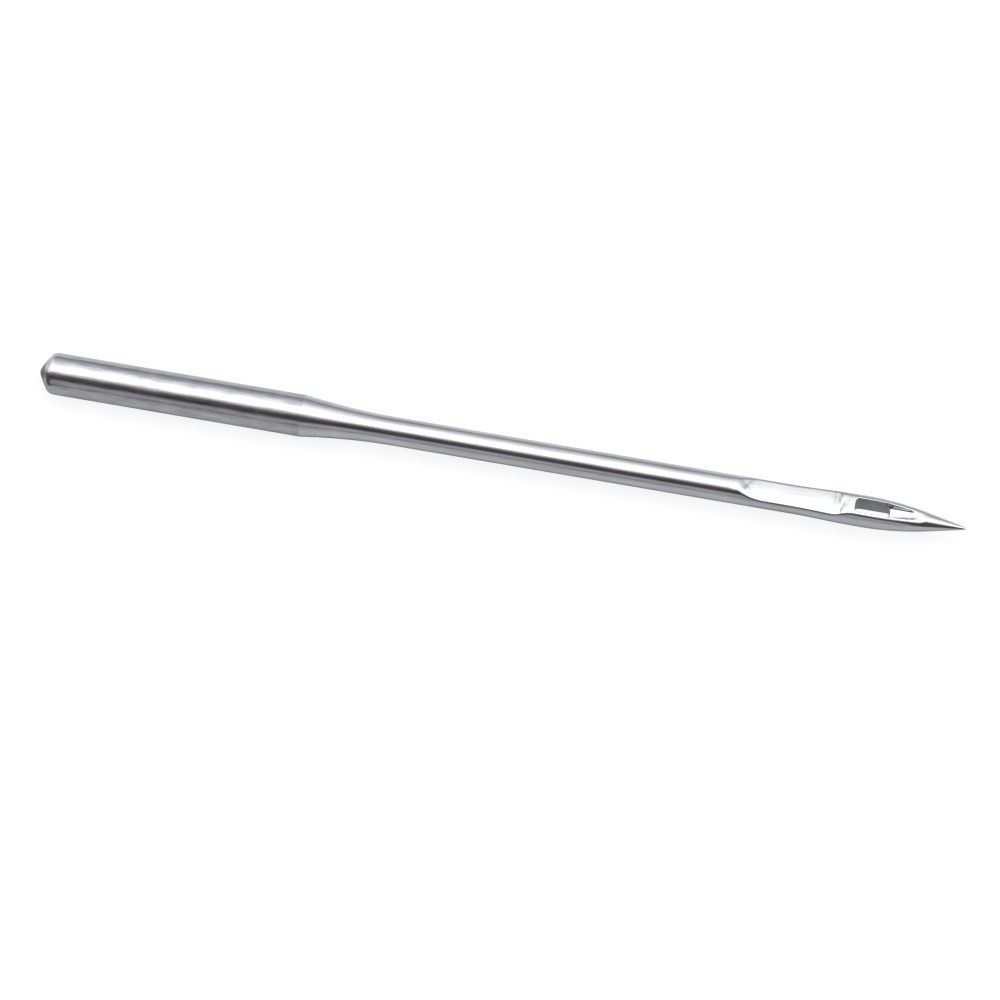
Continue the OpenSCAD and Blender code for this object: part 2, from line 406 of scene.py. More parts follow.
@dataclass
class Cuts:
    """Scarf, grooves and eye, as heights, half widths and one smooth field.

    Attributes:
        sizes: Sizes of the needle.
        rounds: Rounding of its edges.
        outline: Turned outline that the cuts are made in.
        under_slope: How steeply the lands under the eye run out before the cheeks.
        slimmest: Least share of the blade's radius that the scarf's rounding still follows.
        curve_step: Step over which the slope of a curve is measured.
        field_step: Step over which the slope of the field is measured.
    """

    sizes: NeedleSizes
    rounds: EdgeRounds
    outline: Outline
    under_slope: float = 2.0
    slimmest: float = 0.3
    curve_step: float = 1e-3
    field_step: float = 2e-4

    def __post_init__(self) -> None:
        """Work out where the cuts begin and end."""
        sizes = self.sizes
        self.scarf_floor = sizes.blade_r - sizes.scarf_depth
        self.scarf_start = sizes.butt_to_eye - sizes.scarf_length + self.rounds.scarf_reach
        self.floor_start = self.scarf_start + arc_run(sizes.scarf_lead_r, sizes.scarf_depth)
        climb_r = sizes.scarf_heel_r + sizes.boss_r
        climb = arc_run(climb_r, sizes.boss_h - self.scarf_floor)
        self.floor_end = sizes.butt_to_eye - climb
        self.climb_turn = self.floor_end + climb * sizes.scarf_heel_r / climb_r
        self.groove_floor = sizes.blade_r - sizes.long_groove_depth
        self.groove_start = sizes.shank_length + sizes.long_groove_gap
        self.ramp_end = self.groove_start + sizes.long_groove_ramp
        drop = at(self.outline.radius, self.groove_start) - self.groove_floor
        self.ramp_wheel_r = arc_radius(sizes.long_groove_ramp, drop)
        self.lift_wheel_r = arc_radius(sizes.long_groove_runout, sizes.cheek_r - self.groove_floor)
        self.eye_middle = sizes.butt_to_eye + sizes.eye_length / 2
        self.short_start = sizes.eye_end - sizes.eye_corner_r
        self.short_rise = math.tan(math.radians(sizes.short_groove_slope))
        self.short_end = sizes.eye_end + sizes.short_groove_length

    def top(self, station: Array) -> Array:
        """Give the height of the scarf, of the boss and of the lands, which run out past the groove.

        Args:
            station: Stations along the needle.

        Returns:
            The height above the axis.
        """
        sizes = self.sizes
        lead = arc_drop(self.floor_start - station, sizes.scarf_lead_r)
        heel = arc_drop(station - self.floor_end, sizes.scarf_heel_r)
        boss = arc_drop(sizes.butt_to_eye - station, sizes.boss_r)
        land = arc_drop(station - sizes.butt_to_eye, sizes.eye_land_r)
        land -= arc_drop(station - self.short_end, sizes.land_runout_r)
        climbing = station < self.climb_turn
        return np.where(climbing, self.scarf_floor + lead + heel, sizes.boss_h - boss - land)

    def under(self, station: Array) -> Array:
        """Give the depth of the narrow lands under the eye, which end where the cheeks begin."""
        before = np.clip(self.outline.cheek_start - station, 0.0, None)
        return self.sizes.eye_under_h + self.under_slope * before

    def long_floor(self, station: Array) -> Array:
        """Give the depth of the long groove's floor below the axis.

        Args:
            station: Stations along the needle.

        Returns:
            The depth.
        """
        plunge = arc_drop(self.ramp_end - station, self.ramp_wheel_r)
        lift = arc_drop(station - self.sizes.eye_end, self.lift_wheel_r)
        return self.groove_floor + plunge + lift

    def short_floor(self, station: Array) -> Array:
        """Give the height of the short groove's floor above the axis."""
        start = self.sizes.eye_land_h - self.sizes.short_groove_depth
        return start + self.short_rise * (station - self.sizes.eye_end)

    def short_half(self, station: Array) -> Array:
        """Give half the width of the short groove."""
        ends = [self.sizes.eye_w / 2, self.sizes.short_groove_end_w / 2]
        return np.interp(station, [self.short_start, self.short_end], ends)

    def channel(self, side: Array, sunk: Array, half: float | Array) -> Array:
        """Give the distance to a channel with rounded corners, which is negative inside it.

        Args:
            side: Distance from the middle plane.
            sunk: How far a point lies on the open side of the channel's floor.
            half: Half the width of the channel.

        Returns:
            The distance to the channel's walls and floor.
        """
        corner = self.sizes.groove_corner_r
        return round_join(np.abs(side) - (half - corner), corner - sunk, corner)

    def lean(self, curve: Callable[[Array], Array], station: Array) -> Array:
        """Give how much longer a slope of a curve is than its run.

        Args:
            curve: A height or a radius along the needle.
            station: Stations along the needle.

        Returns:
            The share at each station, which is one where the curve is level.
        """
        step = self.curve_step
        steep = (curve(station + step) - curve(station - step)) / (2 * step)
        return np.sqrt(1 + steep**2)

    def field(self, points: Array) -> Array:
        """Give the field that is zero on the needle's surface and negative inside the steel.

        Args:
            points: Station, side and height of each point, in its columns.

        Returns:
            The value of the field at each point.
        """
        station, side, height = points.T
        sizes, rounds = self.sizes, self.rounds
        radius = self.outline.radius(station)
        solid = (np.hypot(side, height) - radius) / self.lean(self.outline.radius, station)
        crown = side**2 / (2 * sizes.scarf_crown_r)
        scarf = (height - self.top(station) + crown) / self.lean(self.top, station)
        slim = np.clip(radius / sizes.blade_r, self.slimmest, 1.0)
        solid = smooth_max(solid, scarf, rounds.scarf * slim)
        solid = smooth_max(solid, -height - self.under(station), rounds.under)
        corner = sizes.eye_corner_r
        along = np.abs(station - self.eye_middle) - (sizes.eye_length / 2 - corner)
        eye = round_join(along, np.abs(side) - (sizes.eye_w / 2 - corner), corner)
        short = self.channel(side, height - self.short_floor(station), self.short_half(station))
        short = np.maximum(short, self.short_start - station)
        long = self.channel(side, -height - self.long_floor(station), sizes.long_groove_w / 2)
        solid = smooth_max(solid, -long, rounds.groove_rim)
        inner = smooth_max(-eye, -short, rounds.web)
        return smooth_max(solid, inner, rounds.eye_mouth)

    def slope(self, points: Array) -> Array:
        """Give the gradient of the field.

        Args:
            points: Station, side and height of each point, in its columns.

        Returns:
            The gradient at each point, in the same columns.
        """
        shifts = np.eye(3) * self.field_step
        rises = [self.field(points + shift) - self.field(points - shift) for shift in shifts]
        return np.stack(rises, axis=1) / (2 * self.field_step)


class Column(IntEnum):
    """Named corners of half a cross-section, from the middle of the eye's wall round to it again."""

    WALL_TOP = 0
    FLOOR_TOP = 1
    CORNER_TOP = 2
    MOUTH_TOP = 3
    LAND_TOP = 4
    LAND_UNDER = 5
    MOUTH_UNDER = 6
    CORNER_UNDER = 7
    FLOOR_UNDER = 8
    WALL_UNDER = 9


@dataclass(frozen=True)
class Ring:
    """One cross-section of the needle.

    Attributes:
        station: Distance from the butt.
        points: Side and height of each column of the half section.
        in_eye: Whether the eye's wall belongs to the section.
        normal_angle: Angle of the normal from the axis, for a plain turned ring only.
    """

    station: float
    points: Array
    in_eye: bool
    normal_angle: float | None


@dataclass
class SectionMaker:
    """Makes the cross-sections, with the same columns in each.

    Attributes:
        sizes: Sizes of the needle.
        outline: Turned outline of the needle.
        cuts: Cuts made in it.
        steps: Columns from each corner of a section to the next.
        least: Least mean gap between columns on the blade, which shrinks with the point.
        flank_points: Points that describe the round flank.
        ease: How far the columns are drawn to the corners, from 0 to 1.
        flank_ease: The same on the round flank.
    """

    sizes: NeedleSizes
    outline: Outline
    cuts: Cuts
    steps: tuple[int, ...] = (8, 5, 7, 7, 34, 4, 7, 5, 8)
    least: float = 0.006
    flank_points: int = 241
    ease: float = 0.85
    flank_ease: float = 0.5

    def __post_init__(self) -> None:
        """Number the first column after each corner."""
        self.first: list[int] = [0, *np.cumsum(self.steps).tolist()]

    def corners(self, station: float, radius: float, gap: float | None) -> list[Corner]:
        """Find the ten corners of half a cross-section.

        Args:
            station: Station of the section.
            radius: Radius of the turned outline there.
            gap: Half the width of the eye there, or None where the section is beside the eye.

        Returns:
            Side and height of each corner, in the order of Column. Corners of a cut that is
            absent lie on the corner before or after them.
        """
        sizes, cuts = self.sizes, self.cuts
        in_eye = gap is not None
        gap = gap or 0.0
        top = min(at(cuts.top, station), radius)
        under = min(at(cuts.under, station), radius)
        floor = at(cuts.short_floor, station)
        floor_at_eye = at(cuts.short_floor, cuts.short_start)
        if station >= cuts.short_start - TINY and floor < radius:
            half = max(min(at(cuts.short_half, station), half_chord(radius, floor)), gap)
            floor_top = (gap, floor)
            corner_top = (half, floor)
            mouth_top = (half, max(min(top, half_chord(radius, half)), floor))
        else:
            floor_top = mouth_top = (gap, min(top, half_chord(radius, gap)))
            if in_eye:
                begin = sizes.butt_to_eye + sizes.eye_corner_r
                share = min(max((station - begin) / (cuts.short_start - begin), 0.0), 1.0)
                floor_top = (gap, mouth_top[1] + share * (floor_at_eye - mouth_top[1]))
            corner_top = floor_top
        land_side = half_chord(radius, top)
        land_top = (land_side, top) if land_side > mouth_top[0] else mouth_top
        long_floor = at(cuts.long_floor, station)
        has_long = long_floor < radius
        groove = min(sizes.long_groove_w / 2, half_chord(radius, long_floor)) if has_long else 0.0
        mouth = max(groove, gap)
        under_side = half_chord(radius, under)
        mouth_under = (mouth, -min(under, half_chord(radius, mouth)))
        land_under = (under_side, -under) if under_side > mouth else mouth_under
        corner_under = (mouth, -long_floor) if has_long else mouth_under
        floor_under = (gap, -long_floor) if has_long else mouth_under
        middle = (gap, (floor_at_eye - cuts.groove_floor) / 2)
        wall_top, wall_under = (middle, middle) if in_eye else (floor_top, floor_under)
        upper = [wall_top, floor_top, corner_top, mouth_top, land_top]
        return upper + [land_under, mouth_under, corner_under, floor_under, wall_under]

    def ring(self, station: float, gap: float | None = None) -> Ring:
        """Make one cross-section through the cuts.

        Args:
            station: Station of the section.
            gap: Half the width of the eye there, or None where the section is beside the eye.

        Returns:
            The section, with its columns spread along it.
        """
        radius = at(self.outline.radius, station)
        in_eye = gap is not None
        points = self.spread(radius, self.corners(station, radius, gap), in_eye)
        return Ring(station, points, in_eye, None)

    def plain_ring(self, station: float, radius: float, normal_angle: float) -> Ring:
        """Make one ring of a turned surface that no cut reaches.

        Args:
            station: Station of the ring.
            radius: Its radius.
            normal_angle: Angle of its normal from the axis.

        Returns:
            The ring.
        """
        half = len(Column) // 2
        ends = [(0.0, radius)] * half + [(0.0, -radius)] * half
        return Ring(station, self.spread(radius, ends, False), False, normal_angle)

    def spread(self, radius: float, corners: list[Corner], in_eye: bool) -> Array:
        """Spread the columns along a section, closer together at its corners.

        Args:
            radius: Radius of its round flank.
            corners: Its ten corners.
            in_eye: Whether it passes through the eye.

        Returns:
            Side and height of each column.
        """
        land, under = Column.LAND_TOP, Column.LAND_UNDER
        turns = np.linspace(math.atan2(*corners[land]), math.atan2(*corners[under]), self.flank_points)
        flank = [(radius * math.sin(a), radius * math.cos(a)) for a in turns]
        path = np.array(corners[:land] + flank + corners[under + 1 :])
        lengths = np.concatenate([[0], np.cumsum(np.hypot(*np.diff(path, axis=0).T))])
        marks = np.concatenate([lengths[: land + 1], lengths[land + len(flank) - 1 :]])
        gaps = np.array(self.steps) * self.least * min(radius / self.sizes.blade_r, 1.0)
        first, last = (0, len(marks) - 1) if in_eye else (1, len(marks) - 2)
        if in_eye:
            for i in range(Column.MOUTH_TOP - 1, first, -1):
                marks[i] = min(marks[i], marks[i + 1] - gaps[i])
        for i in range(first + 1, land + 1):
            marks[i] = max(marks[i], marks[i - 1] + gaps[i - 1])
        for i in range(last - 1, under - 1, -1):
            marks[i] = min(marks[i], marks[i + 1] - gaps[i])
        places = [marks[0]]
        for i, count in enumerate(self.steps):
            share = np.linspace(0, 1, count + 1)[1:]
            eased = (1 - np.cos(np.pi * share)) / 2
            share = share + (self.flank_ease if i == land else self.ease) * (eased - share)
            places.extend(marks[i] + share * (marks[i + 1] - marks[i]))
        sides = np.interp(places, lengths, path[:, 0])
        sides[np.abs(sides) < TINY] = 0.0
        return np.stack([sides, np.interp(places, lengths, path[:, 1])], axis=1)


@dataclass(frozen=True)
class CutButt:
    """Dull metal with pitted, uneven brightness.

    Attributes:
        name: Name of the material.
        light: Colour of the metal where it is brightest.
        dark: Colour of the metal in its pits.
        roughness: Its roughness.
        grit_mm: Size of a pit.
        pit_depth_mm: Depth of a pit.
    """

    name: str = "sheared_steel_butt"
    light: str = "#A5A499"
    dark: str = "#65665D"
    roughness: float = 0.42
    grit_mm: float = 0.12
    pit_depth_mm: float = 0.01

    def material(self) -> Material:
        """Make the material.

        Returns:
            The material.
        """
        material = bpy.data.materials.new(self.name)
        add = partial(add_node, empty_tree(material))
        place = add("ShaderNodeTexCoord").outputs["Object"]
        pits = add(
            "ShaderNodeTexNoise",
            {"Scale": 1 / (self.grit_mm * MM), "Detail": 4.0, "Roughness": 0.65, "Vector": place},
        ).outputs["Fac"]
        tones = {6: linear(self.dark), 7: linear(self.light)}
        colour = add("ShaderNodeMix", {"data_type": "RGBA", "Factor": pits, **tones})
        depth = self.pit_depth_mm * MM
        bump = add("ShaderNodeBump", {"Strength": 0.5, "Distance": depth, "Height": pits})
        surface = add(
            "ShaderNodeBsdfPrincipled",
            {
                "Metallic": 1.0,
                "Roughness": self.roughness,
                "Base Color": colour.outputs[2],
                "Normal": bump.outputs["Normal"],
            },
        )
        add("ShaderNodeOutputMaterial", {"Surface": surface.outputs["BSDF"]})
        return material


@dataclass(frozen=True)
class PaintedShadePatch:
    """Patch of painted shade on top of the needle: dull marks across it darken the colour where the steel
    reflects grey.

    Attributes:
        middle_mm: Place of its middle along the needle, from the middle of the needle.
        reach_mm: How far it reaches to either side.
        mark_mm: Width of one mark along the needle, and its length across it.
        depth: Share of the brightness that the darkest mark takes away.
        upward: Height of the normal where the marks begin and where they are full.
        patchy: Value of the noise where a mark begins and where it is full.
    """

    middle_mm: float
    reach_mm: float
    mark_mm: tuple[float, float]
    depth: float
    upward: tuple[float, float] = (0.86, 0.94)
    patchy: tuple[float, float] = (0.42, 0.62)


@dataclass(frozen=True)
class GrainedPlate:
    """Bright plating over a grain that grinding or polishing left, stretched one way.

    Attributes:
        name: Name of the material.
        light: Colour of the plating where it is brightest.
        dark: Colour of the plating in its grain.
        grain_mm: Length of the grain along the needle and its width across it.
        cloud_mm: Size of the soft mottling, along the needle and across it.
        roughness: Lowest and highest roughness of the plating.
        grain_height_mm: Height of the grain.
        cloud_height_mm: Height of the soft mottling.
        shade_patches: Patches of painted shade.
        contrast: Values of the mixed noises that count as darkest and as brightest.
    """

    name: str
    light: str
    dark: str
    grain_mm: tuple[float, float]
    cloud_mm: tuple[float, float]
    roughness: tuple[float, float]
    grain_height_mm: float
    cloud_height_mm: float
    shade_patches: tuple[PaintedShadePatch, ...] = ()
    contrast: tuple[float, float] = (0.34, 0.66)

    def noise(self, tree: Tree, place: Socket, size_mm: tuple[float, float], detail: float) -> Socket:
        """Add a noise that is stretched along or around the needle.

        Args:
            tree: Node tree that takes the nodes.
            place: Socket with the place on the needle, in metres.
            size_mm: Size of the noise along the needle and across it.
            detail: Finer layers that the noise holds.

        Returns:
            The noise's socket.
        """
        add = partial(add_node, tree)
        along, across = (1 / (size * MM) for size in size_mm)
        stretched = add("ShaderNodeMapping", {"Scale": (along, across, across), "Vector": place})
        way = {"Scale": 1.0, "Detail": detail, "Roughness": 0.6, "Vector": stretched.outputs["Vector"]}
        return add("ShaderNodeTexNoise", way).outputs["Fac"]

    def add_painted_shade(self, tree: Tree, place: Socket, shade_patch: PaintedShadePatch, colour: Socket) -> Socket:
        """Add the nodes that darken the colour where a patch of painted shade lies.

        Args:
            tree: Node tree that takes the nodes.
            place: Socket with the place on the needle, in metres.
            shade_patch: The patch of painted shade.
            colour: Socket with the colour before it.

        Returns:
            A socket with the colour after it.
        """
        add = partial(add_node, tree)
        marks = self.noise(tree, place, shade_patch.mark_mm, detail=1.0)
        along = add("ShaderNodeSeparateXYZ", {0: place}).outputs["X"]
        past = add("ShaderNodeMath", {"operation": "SUBTRACT", 0: along, 1: shade_patch.middle_mm * MM})
        away = add("ShaderNodeMath", {"operation": "ABSOLUTE", 0: past.outputs[0]}).outputs[0]
        facing = add("ShaderNodeNewGeometry").outputs["Normal"]
        height = add("ShaderNodeSeparateXYZ", {0: facing}).outputs["Z"]
        limits = ((away, shade_patch.reach_mm * MM, 0.0), (height, *shade_patch.upward), (marks, *shade_patch.patchy))
        strength: Any = 1.0
        for value, none_at, full_at in limits:
            part = add("ShaderNodeMapRange", {"Value": value, "From Min": none_at, "From Max": full_at})
            both = {"operation": "MULTIPLY", 0: strength, 1: part.outputs["Result"]}
            strength = add("ShaderNodeMath", both).outputs[0]
        kept = 1.0 - shade_patch.depth
        tones = {6: colour, 7: (kept, kept, kept, 1.0)}
        dulled = {"data_type": "RGBA", "blend_type": "MULTIPLY", "Factor": strength, **tones}
        return add("ShaderNodeMix", dulled).outputs[2]

    def material(self) -> Material:
        """Make the material.

        Returns:
            A bright metal with grain in its colour, its roughness and its bump.
        """
        material = bpy.data.materials.new(self.name)
        tree = empty_tree(material)
        add = partial(add_node, tree)
        place = add("ShaderNodeTexCoord").outputs["Object"]
        grain = self.noise(tree, place, self.grain_mm, detail=3.0)
        cloud = self.noise(tree, place, self.cloud_mm, detail=2.0)
        both = add("ShaderNodeMix", {"data_type": "FLOAT", "Factor": 0.5, 2: grain, 3: cloud}).outputs[0]
        darkest, brightest = self.contrast
        shade = add(
            "ShaderNodeMapRange", {"From Min": darkest, "From Max": brightest, "Value": both}
        ).outputs["Result"]
        tones = {6: linear(self.dark), 7: linear(self.light)}
        colour = add("ShaderNodeMix", {"data_type": "RGBA", "Factor": shade, **tones}).outputs[2]
        # Darken the colour with the patches of painted shade.
        for shade_patch in self.shade_patches:
            colour = self.add_painted_shade(tree, place, shade_patch, colour)
        low, high = self.roughness
        rough = add("ShaderNodeMapRange", {"To Min": low, "To Max": high, "Value": shade})
        height = self.cloud_height_mm * MM
        bump = add("ShaderNodeBump", {"Strength": 1.0, "Distance": height, "Height": cloud})
        height = self.grain_height_mm * MM
        mottle = bump.outputs["Normal"]
        bump = add(
            "ShaderNodeBump", {"Strength": 1.0, "Distance": height, "Height": grain, "Normal": mottle}
        )
        surface = add(
            "ShaderNodeBsdfPrincipled",
            {
                "Metallic": 1.0,
                "Base Color": colour,
                "Roughness": rough.outputs["Result"],
                "Normal": bump.outputs["Normal"],
            },
        )
        add("ShaderNodeOutputMaterial", {"Surface": surface.outputs["BSDF"]})
        return material


# Plated wire that was sheared and tumbled: its pits scatter the light, so the butt is a dull grey-olive.
# The real pits are finer than a pixel, so they are drawn 0.12 mm wide.
SHEARED_BUTT = CutButt()
# Grinding and drawing leave fine lines along the shank, which fray the edges of its reflections. The real
# lines are a few thousandths of a millimetre wide, too fine to show, so they are drawn 0.07 mm wide.
GROUND_SHANK = GrainedPlate(
    name="ground_plated_shank",
    light="#D1D2D5",
    dark="#A4A5A9",
    grain_mm=(1.6, 0.07),
    cloud_mm=(0.9, 0.3),
    roughness=(0.13, 0.21),
    grain_height_mm=0.0011,
    cloud_height_mm=0.002,
)
# Brushes run along the blade, so its brighter polish shows only faint lines that follow the needle. They
# are drawn 0.05 mm wide, as coarse as they need to be to show.
POLISHED_BLADE = GrainedPlate(
    name="polished_plated_blade",
    light="#DADBDD",
    dark="#BCBDC0",
    grain_mm=(2.6, 0.05),
    cloud_mm=(3.0, 0.35),
    roughness=(0.08, 0.13),
    grain_height_mm=0.0006,
    cloud_height_mm=0.002,
    # Patches of painted shade on top of the scarf's heel and of its lead-in, where the steel reflects
    # grey.
    shade_patches=(
        PaintedShadePatch(middle_mm=16.25, reach_mm=0.5, mark_mm=(0.16, 0.7), depth=0.6),
        PaintedShadePatch(middle_mm=11.75, reach_mm=0.45, mark_mm=(0.3, 0.35), depth=0.5),
    ),
)


class Finish(IntEnum):
    """Surface finishes of the needle, in the order of its material slots."""

    CUT_BUTT = 0
    GROUND_SHANK = 1
    POLISHED_BLADE = 2


FINISHES = {
    Finish.CUT_BUTT: SHEARED_BUTT,
    Finish.GROUND_SHANK: GROUND_SHANK,
    Finish.POLISHED_BLADE: POLISHED_BLADE,
}


@dataclass
class NeedleBody:
    """The needle itself: one closed mesh from butt to tip.

    Attributes:
        sizes: Sizes of the needle.
        rounds: Rounding of its edges.
        shank_rings: Rings along the shank.
        point_rings: Sections from the eye to the round tip.
        eye_rings: Sections along the straight sides of the eye.
        entry: Length of the close sections where the long groove and the scarf begin.
        wall_steps: Steps from the middle of the eye's end wall to its corner.
        wall_lean: How far the end wall leans back over them.
        passes: Times that the points are drawn onto the field.
        least_slope: Least square of the field's slope that a pass divides by.
        longest_step: Farthest that one pass moves a point along one axis.
        on_plane: Distance from the middle plane at which a point is put on it.
    """

    sizes: NeedleSizes = NeedleSizes()
    rounds: EdgeRounds = EdgeRounds()
    shank_rings: int = 24
    point_rings: int = 70
    eye_rings: int = 18
    entry: float = 0.4
    wall_steps: int = 5
    wall_lean: float = 0.005
    passes: int = 6
    least_slope: float = 0.05
    longest_step: float = 0.03
    on_plane: float = 1e-7

    def __post_init__(self) -> None:
        """Prepare the outline, the cuts and the sections."""
        self.outline = Outline(self.sizes, self.rounds.crease)
        self.cuts = Cuts(self.sizes, self.rounds, self.outline)
        self.sections = SectionMaker(self.sizes, self.outline, self.cuts)

    def stretches(self) -> list[tuple[float, float, int, int]]:
        """List the stretches of plain and grooved sections before the eye.

        Returns:
            First station, last station, number of steps and power of their spacing.
        """
        sizes, cuts = self.sizes, self.cuts
        groove_entry = cuts.groove_start + self.entry
        scarf_entry = cuts.scarf_start + self.entry
        return [
            (sizes.shank_length + self.rounds.crease, cuts.groove_start, 10, 1),
            (cuts.groove_start, groove_entry, 12, 2),
            (groove_entry, sizes.neck_end, 26, 1),
            (sizes.neck_end, cuts.scarf_start, 30, 1),
            (cuts.scarf_start, scarf_entry, 14, 2),
            (scarf_entry, cuts.floor_start, 10, 1),
            (cuts.floor_start, cuts.floor_end, 22, 1),
            (cuts.floor_end, sizes.butt_to_eye, 34, 1),
        ]

    def eye_path(self) -> list[tuple[float, float]]:
        """Walk along one side of the eye, from the middle of its upper end wall to the lower one.

        Returns:
            Station and half width of the eye at each step.
        """
        sizes = self.sizes
        corner = sizes.eye_corner_r
        flat = sizes.eye_w / 2 - corner
        turn = np.linspace(0, math.pi / 2, self.outline.arc_rings)[1:]
        steps, lean = self.wall_steps, self.wall_lean
        end = [(lean / steps * i, flat * i / steps) for i in range(steps)]
        end += [(lean + corner * (1 - math.cos(a)), flat + corner * math.sin(a)) for a in turn]
        run = np.linspace(end[-1][0], sizes.eye_length - end[-1][0], self.eye_rings)[1:-1]
        path = [(sizes.butt_to_eye + past, gap) for past, gap in end]
        path += [(sizes.butt_to_eye + float(past), sizes.eye_w / 2) for past in run]
        path += [(sizes.eye_end - past, gap) for past, gap in reversed(end)]
        return path

    def rings(self) -> list[Ring]:
        """Make all the cross-sections in order.

        Returns:
            The sections from the middle of the butt to the tip.
        """
        sizes, sections = self.sizes, self.sections
        rings = [sections.plain_ring(*turned) for turned in self.outline.butt_rings()]
        shank_end = sizes.shank_length - self.rounds.crease
        for station in np.linspace(rings[-1].station, shank_end, self.shank_rings)[1:]:
            rings.append(sections.plain_ring(float(station), sizes.shank_r, math.pi / 2))
        for begin, end, count, power in self.stretches():
            for share in np.linspace(0, 1, count + 1)[:-1]:
                rings.append(sections.ring(begin + (end - begin) * float(share) ** power))
        rings += [sections.ring(station, gap) for station, gap in self.eye_path()]
        for station in np.linspace(sizes.eye_end, self.outline.cone_end, self.point_rings)[1:-1]:
            rings.append(sections.ring(float(station)))
        rings += [sections.plain_ring(*turned) for turned in self.outline.tip_rings()]
        return rings

    def settle(self, points: Array, cut: Array) -> Array:
        """Draw the points of the cut stretch onto the smooth field.

        Args:
            points: Station, side and height of every point.
            cut: Whether each point lies in the cut stretch.

        Returns:
            The normal of every point of the cut stretch.
        """
        moved = points[cut]
        for _ in range(self.passes):
            slope = self.cuts.slope(moved)
            size = np.clip((slope**2).sum(axis=1), self.least_slope, None)
            step = (self.cuts.field(moved) / size)[:, None] * slope
            moved = moved - np.clip(step, -self.longest_step, self.longest_step)
        points[cut] = moved
        slope = self.cuts.slope(moved)
        return slope / np.linalg.norm(slope, axis=1)[:, None]

    def build(self) -> bpy.types.Object:
        """Build the mesh of the needle.

        Returns:
            The needle's object, with a material slot for each finish.
        """
        points, normals, cut, faces = self.lay_out(self.rings())
        normals[cut] = self.settle(points, cut)
        points[:, 1][np.abs(points[:, 1]) < self.on_plane] = 0.0
        to_frame = np.array([-self.sizes.length / 2, 0.0, self.sizes.shank_r])
        mesh = bpy.data.meshes.new("needle_skin")
        mesh.from_pydata(((points + to_frame) * MM).tolist(), [], faces)
        mesh.polygons.foreach_set("use_smooth", [True] * len(mesh.polygons))
        mesh.update()
        mesh.normals_split_custom_set_from_vertices(normals.tolist())
        self.dress(mesh, points)
        needle = bpy.data.objects.new("needle_skin", mesh)
        bpy.context.scene.collection.objects.link(needle)
        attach(needle, BODY)
        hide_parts(NODE)
        log.info("needle_skin: %d points, %d faces", len(mesh.vertices), len(mesh.polygons))
        return needle

    def lay_out(self, rings: list[Ring]) -> tuple[Array, Array, Array, list[tuple[int, ...]]]:
        """Number the points of all rings on both sides and join them into faces.

        Args:
            rings: The sections in order.

        Returns:
            The points, their normals where they are turned, which points are cut, and the faces.
        """
        points: list[Turned] = []
        normals: list[Turned] = []
        cut: list[bool] = []
        rows: list[tuple[list[int], list[int]]] = []
        for ring in rings:
            near: list[int] = []
            far: list[int] = []
            angle = ring.normal_angle
            tilt, out = (0.0, 1.0) if angle is None else (-math.cos(angle), math.sin(angle))
            for side, height in ring.points:
                radius = math.hypot(side, height)
                if radius < TINY and near:
                    near.append(near[0])
                    far.append(near[0])
                    continue
                across, up = (side / radius, height / radius) if radius > TINY else (0.0, 1.0)
                for sign, row in ((1, near), (-1, far)):
                    if sign < 0 and side == 0.0:
                        row.append(near[-1])
                        continue
                    row.append(len(points))
                    points.append((ring.station, sign * side, height))
                    normals.append((tilt, out * sign * across, out * up))
                    cut.append(angle is None)
            if ring.in_eye:
                near[-1] = near[0]
                far[-1] = far[0]
            rows.append((near, far))
        faces: list[tuple[int, ...]] = []
        for i in range(len(rings) - 1):
            in_eye = rings[i].in_eye and rings[i + 1].in_eye
            for k, flip in ((0, False), (1, True)):
                here = self.joined(rings[i], rows[i][k], in_eye)
                there = self.joined(rings[i + 1], rows[i + 1][k], in_eye)
                begin = 0 if in_eye else self.sections.first[Column.FLOOR_TOP]
                end = len(here) - 1 if in_eye else self.sections.first[Column.FLOOR_UNDER]
                for j in range(begin, end):
                    face = tuple(dict.fromkeys((here[j], there[j], there[j + 1], here[j + 1])))
                    if len(face) > 2:
                        faces.append(face[::-1] if flip else face)
        return np.array(points), np.array(normals), np.array(cut), faces

    def joined(self, ring: Ring, row: list[int], both_in_eye: bool) -> list[int]:
        """Fold the columns that run down the eye's end wall into the edge where the wall begins.

        Args:
            ring: The section.
            row: Its numbered points on one side.
            both_in_eye: Whether the faces to be made lie within the eye.

        Returns:
            The numbers to join to the next section.
        """
        if both_in_eye or not ring.in_eye:
            return row
        first = self.sections.first[Column.FLOOR_TOP]
        last = self.sections.first[Column.FLOOR_UNDER]
        joined = list(row)
        on_plane = [j for j in range(first, last + 1) if ring.points[j, 0] == 0.0]
        upper = [j for j in on_plane if j < (first + last) / 2]
        lower = [j for j in on_plane if j >= (first + last) / 2]
        for j in upper:
            joined[j] = row[upper[-1]]
        for j in lower:
            joined[j] = row[lower[0]]
        return joined

    def dress(self, mesh: bpy.types.Mesh, points: Array) -> None:
        """Give each face its finish.

        Args:
            mesh: The needle's mesh.
            points: Station, side and height of its points.
        """
        for finish in Finish:
            mesh.materials.append(FINISHES[finish].material())
            log.info("finish: %s", FINISHES[finish].name)
        for polygon in mesh.polygons:
            middle = float(np.mean(points[list(polygon.vertices), 0]))
            finish = Finish.POLISHED_BLADE
            if middle < self.outline.face_end:
                finish = Finish.CUT_BUTT
            elif middle < self.sizes.shank_length:
                finish = Finish.GROUND_SHANK
            polygon.material_index = finish


